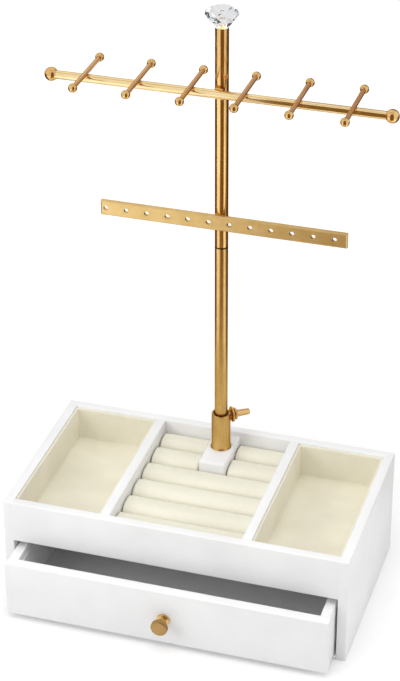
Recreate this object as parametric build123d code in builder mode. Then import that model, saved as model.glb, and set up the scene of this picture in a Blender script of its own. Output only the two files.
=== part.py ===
from build123d import *
from math import cos, radians, sin
import os

# Jewellery stand with a drawer. X runs along the front, Y from front to back and Z up.
# The origin is the centre of the case's underside. All sizes are in millimetres.
os.makedirs("parts", exist_ok=True)

# Case
case_width = 290.0
case_depth = 163.0
case_height = 97.0
side_board = 8.0
rail_board = 8.0
back_board = 8.0
divider_board = 8.0
bottom_board = 3.5
tray_floor_board = 3.5
rail_height = 37.0  # front rail, from its lower edge up to the rim
divider_spread = 59.6  # middle of each divider from the middle of the case
paint_round = 0.8  # softened outer edges of the painted boards

# Velvet liners of the two side trays
liner_card = 2.0
liner_floor_card = 2.0
liner_below_rim = 1.5

# Ring rolls
roll_count = 6
plinth_rolls = 2  # rolls at the back that stop at the plinth
roll_tuck = 3.0  # how much narrower the last roll is
roll_height = 23.5
roll_gap = 0.3
roll_shoulder_low = 9.5  # flat side of a roll where it presses on the next one
roll_shoulder_high = 13.5
roll_foot = 4.0  # how far the underside is set in
roll_bulge = 1.0  # how far the lower flank's bulge is set in
roll_bulge_height = 3.6
roll_end = 3.0  # length of the drawn-in end
roll_end_draw = 1.3
roll_card = 1.5

# Plinth and socket for the mast
plinth_width = 23.0
plinth_height = 30.0
post_from_back = 27.0
socket_outer = 8.0  # radius
socket_wall = 1.6
socket_above_plinth = 33.5
socket_rim_round = 0.6
socket_fit = 0.05
collar_band = 0.9
collar_height = 3.0
collar_bevel_height = 1.8
collar_bevel_depth = 0.6
plug_height = 5.0
base_screw_shank = 2.5  # radius
base_screw_head = 4.5  # radius
base_screw_head_height = 2.6
base_screw_head_round = 0.8
base_screw_hex = 2.25  # radius of the key socket
base_screw_hex_depth = 1.3
base_screw_length = 8.0
screw_clearance = 0.2

# Guide bush between socket and post
bush_recess = 1.0
running_fit = 0.05

# Clamp screw
clamp_angle = 35.0  # from +X towards +Y
clamp_below_rim = 3.5
clamp_boss = 3.5  # radius
clamp_boss_reach = 0.6
clamp_shank = 2.45  # radius
pad_gap = 0.3
pad_length = 1.4
ring_large = 6.6  # radius
ring_small = 5.1  # radius
ring_thickness = 1.8
ring_groove = 3.4  # radius
clamp_handle_root = 2.9  # radius
clamp_handle_tip = 2.5  # radius
clamp_handle_length = 9.8
clamp_handle_round = 0.6

# Mast
post_radius = 5.4
post_wall = 1.0
post_top = 474.7
seam_height = 286.0
seam_chamfer = 0.4
insert_length = 15.0
stud_radius = 3.0
stud_length = 12.0
knob_stud_radius = 2.0
knob_stud_length = 6.0

# Faceted knob
knob_sides = 12
knob_foot = 5.6  # radius
knob_girdle = 13.2  # radius
knob_table = 7.6  # radius
knob_pavilion = 10.6  # height of the lower cone
knob_girdle_band = 0.9
knob_crown = 3.8

# Necklace bar and hooks
bar_below_top = 52.2  # bar's axis below the top of the post
bar_forward = 9.4  # in front of the post's axis
bar_radius = 3.35
bar_span = 273.5  # between the end balls' centres
end_ball = 5.5  # radius
hook_count = 6
hook_pitch = 43.0
hook_radius = 1.9
hook_span = 62.4  # between a hook's ball centres
hook_ball = 3.6  # radius
hook_seat = 0.3  # depth of the notch in the bar
saddle_width = 7.0
bar_saddle_height = 9.0
bar_saddle_front = 1.0  # behind the bar's axis

# Earring strip
strip_above_seam = 24.2  # middle of the strip above the seam
strip_forward = 7.2  # its middle, in front of the post's axis
strip_thickness = 3.0
strip_width = 13.0
strip_bevel = 0.9  # on the front edges
strip_holes = 12
strip_pitch = 17.25
strip_hole = 2.0  # radius
strip_left_margin = 4.3
strip_right_margin = 10.3
strip_saddle_height = 14.0

# Drawer
drawer_open = 24.5  # how far it stands open at rest
drawer_side_gap = 1.0
drawer_bottom_gap = 0.3
drawer_top_gap = 6.0
drawer_back_gap = 1.0
drawer_front_board = 9.0
drawer_front_lift = 0.4  # front's lower edge above the sides' lower edges
drawer_inset = 1.0  # sides set in from the front's ends
drawer_side_board = 8.0
drawer_back_board = 8.0
drawer_bottom_board = 3.0
drawer_bottom_lift = 3.0
felt = 1.2
felt_below_top = 6.0

# Drawer knob
pull_height = 28.0
pull_base = 5.2  # radius
pull_base_length = 1.8
pull_neck = 2.9  # radius
pull_head = 7.0  # radius
pull_head_length = 4.6
pull_length = 13.5
pull_round = 1.0
pull_screw = 2.0  # radius
pull_screw_head = 4.0  # radius
pull_screw_head_height = 2.0
pull_screw_head_round = 0.6
pull_screw_depth = 7.0

# Places worked out from the sizes above
outer_x = case_width / 2
inner_x = outer_x - side_board
front_y = -case_depth / 2
back_y = case_depth / 2
tray_front_y = front_y + rail_board
tray_back_y = back_y - back_board
rail_bottom = case_height - rail_height
tray_floor = rail_bottom + tray_floor_board
divider_inner = divider_spread - divider_board / 2
divider_outer = divider_spread + divider_board / 2
liner_top = case_height - liner_below_rim

post_y = back_y - post_from_back
plinth_top = tray_floor + plinth_height
socket_top = plinth_top + socket_above_plinth
socket_inner = socket_outer - socket_wall
plug_top = tray_floor + plug_height
bush_inner = post_radius + running_fit
bush_outer = socket_inner - running_fit
clamp_height = socket_top - clamp_below_rim
clamp_bore = clamp_shank + running_fit

bar_height = post_top - bar_below_top
strip_height = seam_height + strip_above_seam

roll_pitch = (tray_back_y - tray_front_y + roll_tuck) / roll_count
split_roll = roll_count - plinth_rolls
plinth_front_y = tray_front_y + split_roll * roll_pitch + roll_gap


def finish(piece, name):
    piece.part.label = name
    export_step(piece.part, f"parts/{name}.step")


def board(low, high):
    """A box between two opposite corners."""
    with BuildPart() as piece:
        with BuildSketch(Plane.XY.offset(low[2])):
            with Locations(((low[0] + high[0]) / 2, (low[1] + high[1]) / 2)):
                Rectangle(high[0] - low[0], high[1] - low[1])
        extrude(amount=high[2] - low[2])
    return piece


def ring(bottom, top, outer, inner=0.0):
    """A round bar or tube on the post's axis."""
    with BuildPart() as piece:
        with BuildSketch(Plane.XY.offset(bottom)):
            with Locations((0, post_y)):
                Circle(outer)
                if inner:
                    Circle(inner, mode=Mode.SUBTRACT)
        extrude(amount=top - bottom)
    return piece


# Case boards. The sides run the full depth, and the rail, back and bottom stand between them.
for name, side in (("case_left_side", -1), ("case_right_side", 1)):
    face_x = sorted((side * inner_x, side * outer_x))
    case_side = board((face_x[0], front_y, 0), (face_x[1], back_y, case_height))
    with case_side:
        outer_face = case_side.faces().sort_by(Axis.X)[-1 if side > 0 else 0]
        fillet(outer_face.edges(), paint_round)
    finish(case_side, name)

case_front_rail = board((-inner_x, front_y, rail_bottom), (inner_x, tray_front_y, case_height))
with case_front_rail:
    fillet(case_front_rail.faces().sort_by(Axis.Y)[0].edges().filter_by(Axis.X), paint_round)
finish(case_front_rail, "case_front_rail")

case_back_panel = board((-inner_x, tray_back_y, 0), (inner_x, back_y, case_height))
with case_back_panel:
    fillet(case_back_panel.faces().sort_by(Axis.Y)[-1].edges().filter_by(Axis.X), paint_round)
finish(case_back_panel, "case_back_panel")

finish(board((-inner_x, front_y, 0), (inner_x, tray_back_y, bottom_board)), "case_bottom_board")

tray_board = board((-inner_x, tray_front_y, rail_bottom), (inner_x, tray_back_y, tray_floor))
with BuildPart() as tray_floor_piece:
    add(tray_board.part)
    with BuildSketch(Plane.XY.offset(rail_bottom)):
        with Locations((0, post_y)):
            Circle(base_screw_shank + screw_clearance)
    extrude(amount=tray_floor_board, mode=Mode.SUBTRACT)
finish(tray_floor_piece, "tray_floor_board")

for name, side in (("left_divider", -1), ("right_divider", 1)):
    low_x = side * divider_spread - divider_board / 2
    low = (low_x, tray_front_y, tray_floor)
    finish(board(low, (low_x + divider_board, tray_back_y, case_height)), name)

# Velvet-covered cards that line the two side trays: a floor, and four walls that stand on it
for name, side in (("left", -1), ("right", 1)):
    low_x, high_x = sorted((side * divider_outer, side * inner_x))
    floor_top = tray_floor + liner_floor_card
    tray_liner = board((low_x, tray_front_y, tray_floor), (high_x, tray_back_y, floor_top))
    finish(tray_liner, name + "_liner_floor")

    wall_y = (tray_back_y - tray_front_y) / 2 - liner_card / 2
    wall_x = (high_x - low_x) / 2 - liner_card / 2
    with BuildPart() as liner_walls:
        with BuildSketch(Plane.XY.offset(floor_top)):
            with Locations(((low_x + high_x) / 2, (tray_front_y + tray_back_y) / 2)):
                with Locations((0, -wall_y), (0, wall_y)):
                    Rectangle(high_x - low_x, liner_card)
                with Locations((-wall_x, 0), (wall_x, 0)):
                    Rectangle(liner_card, 2 * wall_y - liner_card - 2 * screw_clearance)
        extrude(amount=liner_top - floor_top)
    finish(liner_walls, name + "_liner_walls")

# Card under the ring rolls, with a notch for the plinth
plinth_side = plinth_width / 2
with BuildPart() as roll_backing_card:
    with BuildSketch(Plane.XY.offset(tray_floor)):
        with Locations((0, (tray_front_y + tray_back_y) / 2)):
            Rectangle(2 * divider_inner, tray_back_y - tray_front_y)
        notch_depth = tray_back_y - plinth_front_y + roll_gap
        with Locations((0, tray_back_y - notch_depth / 2)):
            Rectangle(plinth_width + 2 * roll_gap, notch_depth, mode=Mode.SUBTRACT)
    extrude(amount=roll_card)
finish(roll_backing_card, "roll_backing_card")


def roll_section(x, middle_y, width, draw):
    """Outline of a ring roll at x: flat foot, leaning flanks, short shoulders and a round crown."""
    half = width / 2 - draw
    foot = half - roll_foot
    base = tray_floor + roll_card
    crown = roll_height - draw
    flank = (half - roll_bulge, roll_bulge_height)
    with BuildSketch(Plane.YZ.offset(x)) as outline:
        with BuildLine():
            Line((middle_y - foot, base), (middle_y + foot, base))
            for side in (1, -1):
                low = (middle_y + side * half, base + roll_shoulder_low)
                bend = (middle_y + side * flank[0], base + flank[1])
                ThreePointArc((middle_y + side * foot, base), bend, low)
                Line(low, (low[0], base + roll_shoulder_high))
            shoulder = base + roll_shoulder_high
            ends = (middle_y + half, shoulder), (middle_y - half, shoulder)
            ThreePointArc(ends[0], (middle_y, base + crown), ends[1])
        make_face()
    return outline.sketch


def roll_sections(start_x, end_x, middle_y, width):
    """The four outlines of one roll: full in the middle and drawn in at both ends."""
    return [
        roll_section(start_x, middle_y, width, roll_end_draw),
        roll_section(start_x + roll_end, middle_y, width, 0),
        roll_section(end_x - roll_end, middle_y, width, 0),
        roll_section(end_x, middle_y, width, roll_end_draw),
    ]


# Ring rolls, front to back. The last two stop at the plinth, so each is a left and a right piece.
for index in range(roll_count):
    low_y = tray_front_y + index * roll_pitch
    width = roll_pitch - roll_gap
    if index == roll_count - 1:
        width -= roll_tuck
    middle_y = low_y + (width + roll_gap) / 2
    far_x = divider_inner - roll_gap
    near_x = plinth_side + roll_gap
    spans = ((-far_x, far_x),) if index < split_roll else ((-far_x, -near_x), (near_x, far_x))
    outlines = [roll_sections(start_x, end_x, middle_y, width) for start_x, end_x in spans]
    with BuildPart() as ring_roll:
        for sections in outlines:
            loft(sections, ruled=True)
    finish(ring_roll, f"ring_roll_{index + 1}")

# Plinth that holds the socket
plinth_block = board((-plinth_side, plinth_front_y, tray_floor), (plinth_side, tray_back_y, plinth_top))
with BuildPart() as post_plinth:
    add(plinth_block.part)
    top_edges = post_plinth.faces().sort_by(Axis.Z)[-1].edges()
    fillet(top_edges.sort_by(Axis.Y)[:-1], paint_round)
    with BuildSketch(Plane.XY.offset(tray_floor)):
        with Locations((0, post_y)):
            Circle(socket_outer + socket_fit)
    extrude(amount=plinth_height, mode=Mode.SUBTRACT)
finish(post_plinth, "post_plinth")

# The clamp's axis runs level through the socket, square to the post
clamp_direction = Vector(cos(radians(clamp_angle)), sin(radians(clamp_angle)), 0)
clamp_origin = Vector(0, post_y, clamp_height)
clamp_across = Plane(clamp_origin, x_dir=(0, 0, 1), z_dir=clamp_direction)
clamp_along = Plane(clamp_origin, x_dir=clamp_direction, z_dir=clamp_direction.cross(Vector(0, 0, 1)))
clamp_axis = Axis(clamp_origin, clamp_direction)
boss_end = socket_outer + clamp_boss_reach

socket_blank = ring(tray_floor, socket_top, socket_outer, socket_inner)
with BuildPart() as socket_tube:
    add(socket_blank.part)
    rim = socket_tube.faces().sort_by(Axis.Z)[-1].edges().sort_by(SortBy.LENGTH)[-1]
    fillet(rim, socket_rim_round)
    with BuildSketch(clamp_across):
        Circle(clamp_bore)
    extrude(amount=boss_end, mode=Mode.SUBTRACT)
finish(socket_tube, "socket_tube")

collar_outer = socket_outer + collar_band
socket_collar = ring(plinth_top, plinth_top + collar_height, collar_outer, socket_outer + socket_fit)
with socket_collar:
    top_edge = socket_collar.faces().sort_by(Axis.Z)[-1].edges().sort_by(SortBy.LENGTH)[-1]
    chamfer(top_edge, collar_bevel_height, collar_bevel_depth)
finish(socket_collar, "socket_collar")

screw_bore = base_screw_shank + socket_fit
finish(ring(tray_floor, plug_top, socket_inner - socket_fit, screw_bore), "socket_plug")

with BuildPart() as base_screw:
    with BuildSketch(Plane.XY.offset(rail_bottom)):
        with Locations((0, post_y)):
            Circle(base_screw_shank)
    extrude(amount=base_screw_length)
    with BuildSketch(Plane.XY.offset(rail_bottom)):
        with Locations((0, post_y)):
            Circle(base_screw_head)
    extrude(amount=-base_screw_head_height)
    fillet(base_screw.faces().sort_by(Axis.Z)[0].edges(), base_screw_head_round)
    with BuildSketch(Plane.XY.offset(rail_bottom - base_screw_head_height)):
        with Locations((0, post_y)):
            RegularPolygon(base_screw_hex, 6)
    extrude(amount=base_screw_hex_depth, mode=Mode.SUBTRACT)
finish(base_screw, "socket_screw")

guide_bush = ring(plug_top, socket_top - bush_recess, bush_outer, bush_inner)
finish(guide_bush, "guide_bush")

# Clamp: a boss on the socket, a pad that presses on the bush, and the screw with its handle
with BuildPart() as clamp_boss_ring:
    with BuildSketch(clamp_across):
        Circle(clamp_boss)
        Circle(clamp_bore, mode=Mode.SUBTRACT)
    extrude(amount=boss_end)
    with BuildSketch(Plane.XY.offset(clamp_height - 2 * clamp_boss)):
        with Locations((0, post_y)):
            Circle(socket_outer)
    extrude(amount=4 * clamp_boss, mode=Mode.SUBTRACT)
finish(clamp_boss_ring, "clamp_boss")

pad_start = bush_outer + pad_gap
pad_end = pad_start + pad_length
with BuildPart() as clamp_pad:
    with BuildSketch(clamp_across.offset(pad_start)):
        Circle(clamp_shank)
    extrude(amount=pad_length)
finish(clamp_pad, "clamp_pad")

screw_tip = pad_end + running_fit
ring_start = boss_end + pad_gap
large_end = ring_start + ring_thickness
small_start = large_end + ring_thickness / 2
small_end = small_start + ring_thickness
handle_start = small_end + ring_thickness
handle_end = handle_start + clamp_handle_length
with BuildPart() as clamp_screw:
    with BuildSketch(clamp_along):
        with BuildLine():
            Polyline(
                (screw_tip, 0),
                (screw_tip, clamp_shank),
                (ring_start, clamp_shank),
                (ring_start, ring_large),
                (large_end, ring_large),
                (large_end, ring_groove),
                (small_start, ring_groove),
                (small_start, ring_small),
                (small_end, ring_small),
                (handle_start, clamp_handle_root),
                (handle_end - clamp_handle_round, clamp_handle_tip),
                (handle_end, clamp_handle_tip - clamp_handle_round),
                (handle_end, 0),
                close=True,
            )
        make_face()
    revolve(axis=clamp_axis)
finish(clamp_screw, "clamp_screw")

# Mast: two tubes screwed end to end
tube_inner = post_radius - post_wall
insert_radius = tube_inner - socket_fit
lower_post = ring(plug_top, seam_height, post_radius, tube_inner)
with lower_post:
    seam_edge = lower_post.faces().sort_by(Axis.Z)[-1].edges().sort_by(SortBy.LENGTH)[-1]
    chamfer(seam_edge, seam_chamfer)
finish(lower_post, "lower_post")

stud_plug = ring(seam_height - insert_length, seam_height, insert_radius)
with BuildPart() as joint_stud:
    add(stud_plug.part)
    with BuildSketch(Plane.XY.offset(seam_height)):
        with Locations((0, post_y)):
            Circle(stud_radius)
    extrude(amount=stud_length)
finish(joint_stud, "joint_stud")

socket_end = seam_height + insert_length
finish(ring(seam_height, socket_end, insert_radius, stud_radius + socket_fit), "joint_socket")

upper_post = ring(seam_height, post_top, post_radius, tube_inner)
with upper_post:
    seam_edge = upper_post.faces().sort_by(Axis.Z)[0].edges().sort_by(SortBy.LENGTH)[-1]
    top_edge = upper_post.faces().sort_by(Axis.Z)[-1].edges().sort_by(SortBy.LENGTH)[-1]
    chamfer([seam_edge, top_edge], seam_chamfer)
finish(upper_post, "upper_post")

knob_plug = ring(post_top - insert_length, post_top, insert_radius)
with BuildPart() as knob_stud:
    add(knob_plug.part)
    with BuildSketch(Plane.XY.offset(post_top)):
        with Locations((0, post_y)):
            Circle(knob_stud_radius)
    extrude(amount=knob_stud_length)
finish(knob_stud, "knob_stud")

# Faceted knob: foot, girdle band and table, each a regular polygon
girdle_low = post_top + knob_pavilion
girdle_high = girdle_low + knob_girdle_band
knob_rows = (
    (post_top, knob_foot),
    (girdle_low, knob_girdle),
    (girdle_high, knob_girdle),
    (girdle_high + knob_crown, knob_table),
)
with BuildPart() as crystal_knob:
    for height, radius in knob_rows:
        with BuildSketch(Plane.XY.offset(height)):
            with Locations((0, post_y)):
                RegularPolygon(radius, knob_sides)
    loft(ruled=True)
    with BuildSketch(Plane.XY.offset(post_top)):
        with Locations((0, post_y)):
            Circle(knob_stud_radius + socket_fit)
    extrude(amount=knob_stud_length + socket_fit, mode=Mode.SUBTRACT)
finish(crystal_knob, "crystal_knob")

# Necklace bar, notched where each hook rod crosses it, and its end balls
bar_y = post_y - bar_forward
hook_z = bar_height + bar_radius + hook_radius - hook_seat
hook_x = [(i - (hook_count - 1) / 2) * hook_pitch for i in range(hook_count)]
with BuildPart() as necklace_bar:
    with Locations((0, bar_y, bar_height)):
        Cylinder(bar_radius, bar_span, rotation=(0, 90, 0))
    with Locations([(x, bar_y, hook_z) for x in hook_x]):
        Cylinder(hook_radius + socket_fit, hook_span / 2, rotation=(90, 0, 0), mode=Mode.SUBTRACT)
finish(necklace_bar, "necklace_bar")

for name, side in (("left_end_ball", -1), ("right_end_ball", 1)):
    ball_centre = Vector(side * bar_span / 2, bar_y, bar_height)
    bore = bar_radius + socket_fit
    with BuildPart() as bar_ball:
        with BuildSketch(Plane(ball_centre, x_dir=(side, 0, 0), z_dir=(0, 0, 1))):
            Circle(end_ball)
            Rectangle(2 * end_ball, end_ball, align=(Align.CENTER, Align.MAX), mode=Mode.SUBTRACT)
            Rectangle(end_ball, bore, align=(Align.MAX, Align.MIN), mode=Mode.SUBTRACT)
        revolve(axis=Axis(ball_centre, (1, 0, 0)))
    finish(bar_ball, name)

for index, x in enumerate(hook_x):
    with BuildPart() as hook_rod:
        with Locations((x, bar_y, hook_z)):
            Cylinder(hook_radius, hook_span, rotation=(90, 0, 0))
        with Locations((x, bar_y - hook_span / 2, hook_z), (x, bar_y + hook_span / 2, hook_z)):
            Sphere(hook_ball)
    finish(hook_rod, f"hook_rod_{index + 1}")


def saddle(front_y, height, middle_z):
    """A block brazed between the post and what it carries, hollowed to the post."""
    with BuildPart() as piece:
        with Locations((0, (front_y + post_y) / 2, middle_z)):
            Box(saddle_width, post_y - front_y, height)
        with Locations((0, post_y, middle_z)):
            Cylinder(post_radius, 2 * height, mode=Mode.SUBTRACT)
    return piece


saddle_block = saddle(bar_y + bar_saddle_front, bar_saddle_height, bar_height)
with BuildPart() as bar_saddle:
    add(saddle_block.part)
    with Locations((0, bar_y, bar_height)):
        Cylinder(bar_radius + socket_fit, 2 * saddle_width, rotation=(0, 90, 0), mode=Mode.SUBTRACT)
finish(bar_saddle, "bar_saddle")

# Earring strip, a flat bar with a row of holes centred on the post
strip_y = post_y - strip_forward
strip_first_x = -strip_pitch * (strip_holes - 1) / 2
strip_left_x = strip_first_x - strip_left_margin
strip_right_x = -strip_first_x + strip_right_margin
with BuildPart() as earring_strip:
    with BuildSketch(Plane.XZ.offset(-strip_y - strip_thickness / 2)):
        with Locations(((strip_left_x + strip_right_x) / 2, strip_height)):
            Rectangle(strip_right_x - strip_left_x, strip_width)
        with Locations((0, strip_height)):
            with GridLocations(strip_pitch, 1, strip_holes, 1):
                Circle(strip_hole, mode=Mode.SUBTRACT)
    extrude(amount=strip_thickness)
    front_edges = earring_strip.faces().sort_by(Axis.Y)[0].outer_wire().edges()
    chamfer(front_edges, strip_bevel)
finish(earring_strip, "earring_strip")

strip_saddle = saddle(strip_y + strip_thickness / 2, strip_saddle_height, strip_height)
finish(strip_saddle, "strip_saddle")

# Drawer, built in its open place
front_face_y = front_y - drawer_open
front_back_y = front_face_y + drawer_front_board
drawer_bottom_z = bottom_board + drawer_bottom_gap
drawer_top_z = rail_bottom - drawer_top_gap
drawer_back_y = tray_back_y - drawer_back_gap - drawer_open
front_half = inner_x - drawer_side_gap
box_half = front_half - drawer_inset
inside_half = box_half - drawer_side_board
inside_back_y = drawer_back_y - drawer_back_board
panel_bottom = drawer_bottom_z + drawer_bottom_lift
panel_top = panel_bottom + drawer_bottom_board

front_low = (-front_half, front_face_y, drawer_bottom_z + drawer_front_lift)
front_blank = board(front_low, (front_half, front_back_y, drawer_top_z))
with BuildPart() as drawer_front:
    add(front_blank.part)
    fillet(drawer_front.faces().sort_by(Axis.Y)[0].edges(), paint_round)
    with BuildSketch(Plane.XZ.offset(-front_back_y)):
        with Locations((0, pull_height)):
            Circle(pull_screw + screw_clearance)
    extrude(amount=drawer_front_board, mode=Mode.SUBTRACT)
finish(drawer_front, "drawer_front")

for name, side in (("drawer_left_side", -1), ("drawer_right_side", 1)):
    low_x, high_x = sorted((side * inside_half, side * box_half))
    low = (low_x, front_back_y, drawer_bottom_z)
    finish(board(low, (high_x, drawer_back_y, drawer_top_z)), name)

back_low = (-inside_half, inside_back_y, drawer_bottom_z)
finish(board(back_low, (inside_half, drawer_back_y, drawer_top_z)), "drawer_back")

panel_low = (-inside_half, front_back_y, panel_bottom)
finish(board(panel_low, (inside_half, inside_back_y, panel_top)), "drawer_bottom")

felt_top = panel_top + felt
felt_low = (-inside_half, front_back_y, panel_top)
finish(board(felt_low, (inside_half, inside_back_y, felt_top)), "drawer_felt_floor")

felt_rim = drawer_top_z - felt_below_top
felt_length = inside_back_y - front_back_y
with BuildPart() as drawer_felt_walls:
    with BuildSketch(Plane.XY.offset(felt_top)):
        with Locations((0, front_back_y + felt / 2), (0, inside_back_y - felt / 2)):
            Rectangle(2 * inside_half, felt)
        with Locations((0, (front_back_y + inside_back_y) / 2)):
            with Locations((-inside_half + felt / 2, 0), (inside_half - felt / 2, 0)):
                Rectangle(felt, felt_length - 2 * felt - 2 * screw_clearance)
    extrude(amount=felt_rim - felt_top)
    with BuildSketch(Plane.XZ.offset(-front_back_y - felt)):
        with Locations((0, pull_height)):
            Circle(pull_screw_head + screw_clearance)
    extrude(amount=felt, mode=Mode.SUBTRACT)
finish(drawer_felt_walls, "drawer_felt_walls")

# Drawer knob, turned about an axis square to the front, and the screw that holds it
pull_centre = Vector(0, front_face_y, pull_height)
pull_plane = Plane(pull_centre, x_dir=(0, -1, 0), z_dir=(-1, 0, 0))
head_start = pull_length - pull_head_length
with BuildPart() as drawer_knob:
    with BuildSketch(pull_plane):
        with BuildLine():
            Line((0, 0), (0, pull_base))
            Line((0, pull_base), (pull_base_length, pull_base))
            Line((pull_base_length, pull_base), (pull_base_length + pull_round, pull_neck))
            Line((pull_base_length + pull_round, pull_neck), (head_start, pull_neck))
            Line((head_start, pull_neck), (head_start, pull_head - pull_round))
            Line((head_start, pull_head - pull_round), (head_start + pull_round, pull_head))
            Line((head_start + pull_round, pull_head), (pull_length - pull_round, pull_head))
            rim_end = (pull_length, pull_head - pull_round)
            RadiusArc((pull_length - pull_round, pull_head), rim_end, pull_round)
            Line(rim_end, (pull_length, 0))
            Line((pull_length, 0), (0, 0))
        make_face()
    revolve(axis=Axis(pull_centre, (0, -1, 0)))
    with BuildSketch(Plane.XZ.offset(-front_face_y)):
        with Locations((0, pull_height)):
            Circle(pull_screw + socket_fit)
    extrude(amount=pull_screw_depth + socket_fit, mode=Mode.SUBTRACT)
finish(drawer_knob, "drawer_knob")

with BuildPart() as drawer_knob_screw:
    with BuildSketch(Plane.XZ.offset(-front_back_y)):
        with Locations((0, pull_height)):
            Circle(pull_screw_head)
    extrude(amount=-pull_screw_head_height)
    head_edges = drawer_knob_screw.faces().sort_by(Axis.Y)[-1].edges()
    fillet(head_edges, pull_screw_head_round)
    with BuildSketch(Plane.XZ.offset(-front_back_y)):
        with Locations((0, pull_height)):
            Circle(pull_screw)
    extrude(amount=drawer_front_board + pull_screw_depth)
finish(drawer_knob_screw, "drawer_knob_screw")

print("height", girdle_high + knob_crown, "roll pitch", roll_pitch)
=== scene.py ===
import math

import bmesh
import bpy
import numpy as np
from mathutils import Matrix, Vector


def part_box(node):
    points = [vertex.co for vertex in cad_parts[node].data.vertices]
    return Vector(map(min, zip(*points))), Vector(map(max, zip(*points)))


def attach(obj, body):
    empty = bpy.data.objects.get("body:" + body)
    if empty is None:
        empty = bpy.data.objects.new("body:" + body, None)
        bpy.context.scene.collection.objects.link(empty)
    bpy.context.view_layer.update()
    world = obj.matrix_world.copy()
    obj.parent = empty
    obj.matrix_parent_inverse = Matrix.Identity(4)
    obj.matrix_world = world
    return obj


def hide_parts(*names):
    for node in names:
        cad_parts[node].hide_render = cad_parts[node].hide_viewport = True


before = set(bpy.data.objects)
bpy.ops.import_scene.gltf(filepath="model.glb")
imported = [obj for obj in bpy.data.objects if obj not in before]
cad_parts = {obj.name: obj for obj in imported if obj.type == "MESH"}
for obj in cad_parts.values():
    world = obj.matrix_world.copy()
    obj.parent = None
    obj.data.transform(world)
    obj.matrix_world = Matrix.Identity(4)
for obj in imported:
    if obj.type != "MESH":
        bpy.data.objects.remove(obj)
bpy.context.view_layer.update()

scene = bpy.context.scene
mm = 0.001  # lengths below are in mm, except the camera's, the lamps' and the stage's, in metres
meshing = {
    "merge": 1.5e-6,  # metres: points nearer than this become one
    "flat": 0.99995,  # faces whose normal is this close to an axis aren't smoothed
    "sharp": 34,  # degrees
}


def faceValues(mesh, what):
    # one row of three numbers per face: its "normal" or its "center"
    values = np.empty(3 * len(mesh.polygons))
    mesh.polygons.foreach_get(what, values)
    return values.reshape(-1, 3)


def skin(name, shells, body, nodes=(), flats=False, sharpAngle=meshing["sharp"]):
    # Each shell is rows of points in mm, one closed loop above the next. Neighbouring points and
    # rows are joined by four-sided faces. An open shell's first and last loops are filled.
    whole = bmesh.new()
    for rows, ring in shells:
        rows = np.asarray(rows, dtype=float) * mm
        index = np.arange(rows.shape[0] * rows.shape[1]).reshape(rows.shape[:2])
        lower = index if ring else index[:-1]
        upper = np.roll(index, -1, axis=0) if ring else index[1:]
        corners = [lower, np.roll(lower, -1, axis=1), np.roll(upper, -1, axis=1), upper]
        faces = np.stack(corners, axis=-1).reshape(-1, 4).tolist()
        if not ring:
            faces += [index[0][::-1].tolist(), index[-1].tolist()]
        draft = bpy.data.meshes.new("draft")
        draft.from_pydata(rows.reshape(-1, 3).tolist(), [], faces)
        shell = bmesh.new()
        shell.from_mesh(draft)
        bmesh.ops.remove_doubles(shell, verts=shell.verts, dist=meshing["merge"])
        if shell.calc_volume(signed=True) < 0:
            bmesh.ops.reverse_faces(shell, faces=shell.faces)
        shell.to_mesh(draft)
        shell.free()
        whole.from_mesh(draft)
        bpy.data.meshes.remove(draft)
    mesh = bpy.data.meshes.new(name)
    whole.to_mesh(mesh)
    whole.free()
    smooth = np.ones(len(mesh.polygons), dtype=bool)
    if flats:  # large level or upright faces stay flat, the rounded edges between them are smooth
        smooth = np.abs(faceValues(mesh, "normal")).max(axis=1) < meshing["flat"]
    mesh.polygons.foreach_set("use_smooth", smooth)
    mesh.set_sharp_from_angle(angle=math.radians(sharpAngle))
    mesh.update()
    piece = bpy.data.objects.new(name, mesh)
    scene.collection.objects.link(piece)
    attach(piece, body)
    if nodes:
        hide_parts(*nodes)
    return piece


def roundedCorners(corners, steps=4):
    # Each corner (along, radius, rounding) becomes a quadratic curve of steps + 1 points that
    # starts and ends one rounding away from it on the lines to its neighbours.
    corners = np.asarray(corners, dtype=float)
    points, rounding = corners[:, :2], corners[:, 2:]
    before = np.roll(points, 1, axis=0) - points
    after = np.roll(points, -1, axis=0) - points
    before /= np.maximum(np.linalg.norm(before, axis=1, keepdims=True), 1e-9)
    after /= np.maximum(np.linalg.norm(after, axis=1, keepdims=True), 1e-9)
    start, end = points + before * rounding, points + after * rounding
    t = np.linspace(0, 1, steps + 1)[None, :, None]
    curve = (1 - t) ** 2 * start[:, None] + 2 * t * (1 - t) * points[:, None] + t**2 * end[:, None]
    return curve.reshape(-1, 2)


def turned(profile, origin, direction, segments=64):
    # A profile of (along, radius) pairs is spun about an axis: origin + along * axis +
    # radius * (cos a * side + sin a * over).
    axis = np.asarray(direction, dtype=float)
    axis /= np.linalg.norm(axis)
    side = np.cross(axis, [0.0, 0.0, 1.0])
    if np.linalg.norm(side) < 1e-6:  # an upright axis
        side = np.array([1.0, 0.0, 0.0])
    side /= np.linalg.norm(side)
    over = np.cross(axis, side)
    a = np.arange(segments) * 2 * np.pi / segments
    circle = np.cos(a)[:, None] * side + np.sin(a)[:, None] * over
    profile = np.asarray(profile, dtype=float)
    return np.asarray(origin) + profile[:, 0, None, None] * axis + profile[:, 1, None, None] * circle


def quarterTurns(steps):
    # four quarter circles, one for each corner of a rectangle, with the signs of its corners
    quarter = np.linspace(0, np.pi / 2, steps + 1)
    turn = (np.arange(4)[:, None] * np.pi / 2 + quarter).ravel()
    signX = np.repeat([1, -1, -1, 1], steps + 1)
    signY = np.repeat([1, 1, -1, -1], steps + 1)
    return quarter, turn, signX, signY


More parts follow.
